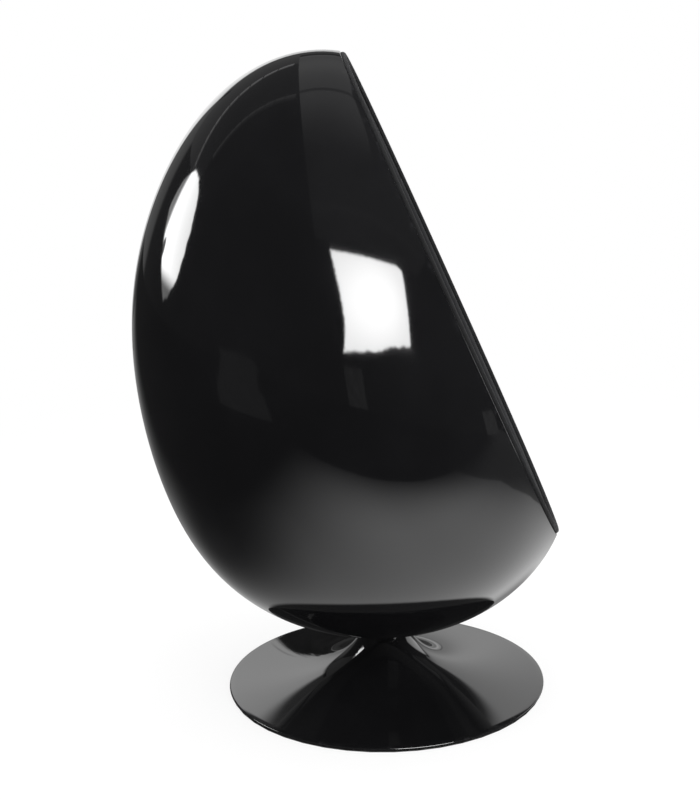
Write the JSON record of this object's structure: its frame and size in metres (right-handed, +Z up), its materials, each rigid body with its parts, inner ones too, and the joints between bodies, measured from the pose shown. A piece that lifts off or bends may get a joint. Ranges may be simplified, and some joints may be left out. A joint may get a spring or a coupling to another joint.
{
  "type": "pod armchair",
  "caption": "Egg-shaped swivel lounge chair: a gloss black moulded pod with a slanted opening, lined in charcoal cloth with seat and back cushions, on a black trumpet foot.",
  "frame": {"origin": "centre of the foot's underside, on the floor and on the swivel axis", "axes": "+Z up along the swivel axis, the opening faces -Y, and X runs from side to side, with the sitter's left at +X"},
  "size_m": [0.8476, 0.8269, 1.2828],
  "materials": {
    "shell_gloss": "gloss",
    "foot_lacquer": "gloss",
    "trim_satin": "satin",
    "charcoal_cloth": "matte",
    "foam": "matte",
    "plywood": "matte",
    "plate_steel": "satin",
    "bearing_steel": "polished",
    "zinc_steel": "satin",
    "nylon": "satin",
    "rubber": "matte",
    "felt": "matte"
  },
  "bodies": {
    "base": {"floor_felt": "felt", "floor_gasket": "rubber", "base_plate": "plate_steel", "plate_screw_1": "zinc_steel", "plate_screw_2": "zinc_steel", "plate_screw_3": "zinc_steel", "plate_screw_4": "zinc_steel", "foot_cover": "foot_lacquer", "swivel_post": "plate_steel", "lower_race": "bearing_steel", "neck_seal": "rubber", "post_washer": "zinc_steel", "lock_nut": "zinc_steel"},
    "bearing_cage": {"ball_cage": "nylon", "bearing_ball_1": "bearing_steel", "bearing_ball_2": "bearing_steel", "bearing_ball_3": "bearing_steel", "bearing_ball_4": "bearing_steel", "bearing_ball_5": "bearing_steel", "bearing_ball_6": "bearing_steel", "bearing_ball_7": "bearing_steel", "bearing_ball_8": "bearing_steel"},
    "pod": {"upper_race": "bearing_steel", "swivel_hub": "plate_steel", "lower_bush": "nylon", "upper_bush": "nylon", "hub_bolt_1": "zinc_steel", "hub_bolt_2": "zinc_steel", "hub_bolt_3": "zinc_steel", "hub_bolt_4": "zinc_steel", "hub_insert_1": "zinc_steel", "hub_insert_2": "zinc_steel", "hub_insert_3": "zinc_steel", "hub_insert_4": "zinc_steel", "mounting_board": "plywood", "pod_shell": "shell_gloss", "rim_batten": "plywood", "rim_trim": "trim_satin", "seat_support": "foam", "lining_front_left": "charcoal_cloth", "lining_side_left": "charcoal_cloth", "lining_back": "charcoal_cloth", "lining_side_right": "charcoal_cloth", "lining_front_right": "charcoal_cloth", "seat_cushion": "charcoal_cloth", "back_cushion": "charcoal_cloth"}
  },
  "joints": [
    {"name": "pod_swivel", "type": "hinge", "parent": "base", "child": "pod", "pos_m": [0, 0, 0.0427], "axis": [0, 0, 1], "continuous": true},
    {"name": "cage_roll", "type": "hinge", "parent": "base", "child": "bearing_cage", "pos_m": [0, 0, 0.0427], "axis": [0, 0, 1], "continuous": true}
  ],
  "couplings": [
    {"joint": "cage_roll", "follows": "pod_swivel", "ratio": 0.5}
  ]
}
